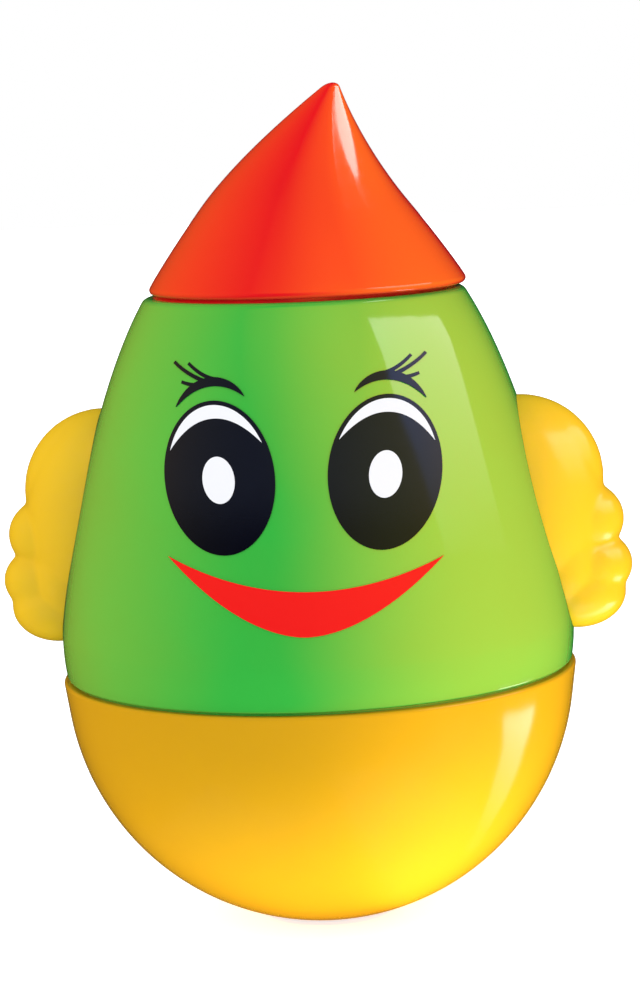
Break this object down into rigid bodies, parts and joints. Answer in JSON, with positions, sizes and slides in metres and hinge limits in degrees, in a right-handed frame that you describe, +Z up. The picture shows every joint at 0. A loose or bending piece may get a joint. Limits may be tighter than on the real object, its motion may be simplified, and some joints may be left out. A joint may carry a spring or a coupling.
{
  "type": "roly poly toy",
  "caption": "Tumbler toy with a round weighted base, a bell-shaped body with a printed face, plump wings, a leaning pointed cap, and a chime of swinging hammers inside.",
  "frame": {"origin": "centre of the flat foot under the round base, which the toy stands on", "axes": "+Z up along the body's axis, +X towards the wing on the viewer's right, and the printed face looks along -Y"},
  "size_m": [0.1238, 0.1008, 0.1631],
  "materials": {
    "yellow_plastic": "glossy",
    "green_plastic": "glossy",
    "red_plastic": "glossy",
    "black_print": "glossy",
    "white_print": "glossy",
    "red_print": "glossy",
    "cast_weight": "rough",
    "white_plastic": "matt",
    "red_matt_plastic": "matt",
    "steel": "brushed"
  },
  "bodies": {
    "toy": {"base_shell": "yellow_plastic", "counterweight": "cast_weight", "weight_plate": "white_plastic", "plate_screws": "steel", "chime_ring": "steel", "chime_column": "white_plastic", "column_screw": "steel", "chime_rod_1": "steel", "chime_rod_2": "steel", "chime_rod_3": "steel", "chime_rod_4": "steel", "hammer_pin_1": "steel", "hammer_pin_2": "steel", "hammer_pin_3": "steel", "hammer_pin_4": "steel", "body_shell": "green_plastic", "cap": "red_plastic", "left_wing": "yellow_plastic", "right_wing": "yellow_plastic", "wing_screws": "steel", "left_eye": "black_print", "left_eye_white": "white_print", "right_eye": "black_print", "right_eye_white": "white_print", "left_brow": "black_print", "right_brow": "black_print", "mouth": "red_print"},
    "hammer_1": {"hammer_1": "red_matt_plastic"},
    "hammer_2": {"hammer_2": "red_matt_plastic"},
    "hammer_3": {"hammer_3": "red_matt_plastic"},
    "hammer_4": {"hammer_4": "red_matt_plastic"}
  },
  "joints": [
    {"name": "hammer_1_swing", "type": "hinge", "parent": "toy", "child": "hammer_1", "pos_m": [0.00778, 0.00778, 0.07798], "axis": [0.7071, -0.7071, 0], "range_deg": [-3, 9]},
    {"name": "hammer_2_swing", "type": "hinge", "parent": "toy", "child": "hammer_2", "pos_m": [-0.00778, 0.00778, 0.07798], "axis": [0.7071, 0.7071, 0], "range_deg": [-3, 9]},
    {"name": "hammer_3_swing", "type": "hinge", "parent": "toy", "child": "hammer_3", "pos_m": [-0.00778, -0.00778, 0.07798], "axis": [-0.7071, 0.7071, 0], "range_deg": [-3, 9]},
    {"name": "hammer_4_swing", "type": "hinge", "parent": "toy", "child": "hammer_4", "pos_m": [0.00778, -0.00778, 0.07798], "axis": [-0.7071, -0.7071, 0], "range_deg": [-3, 9]}
  ]
}
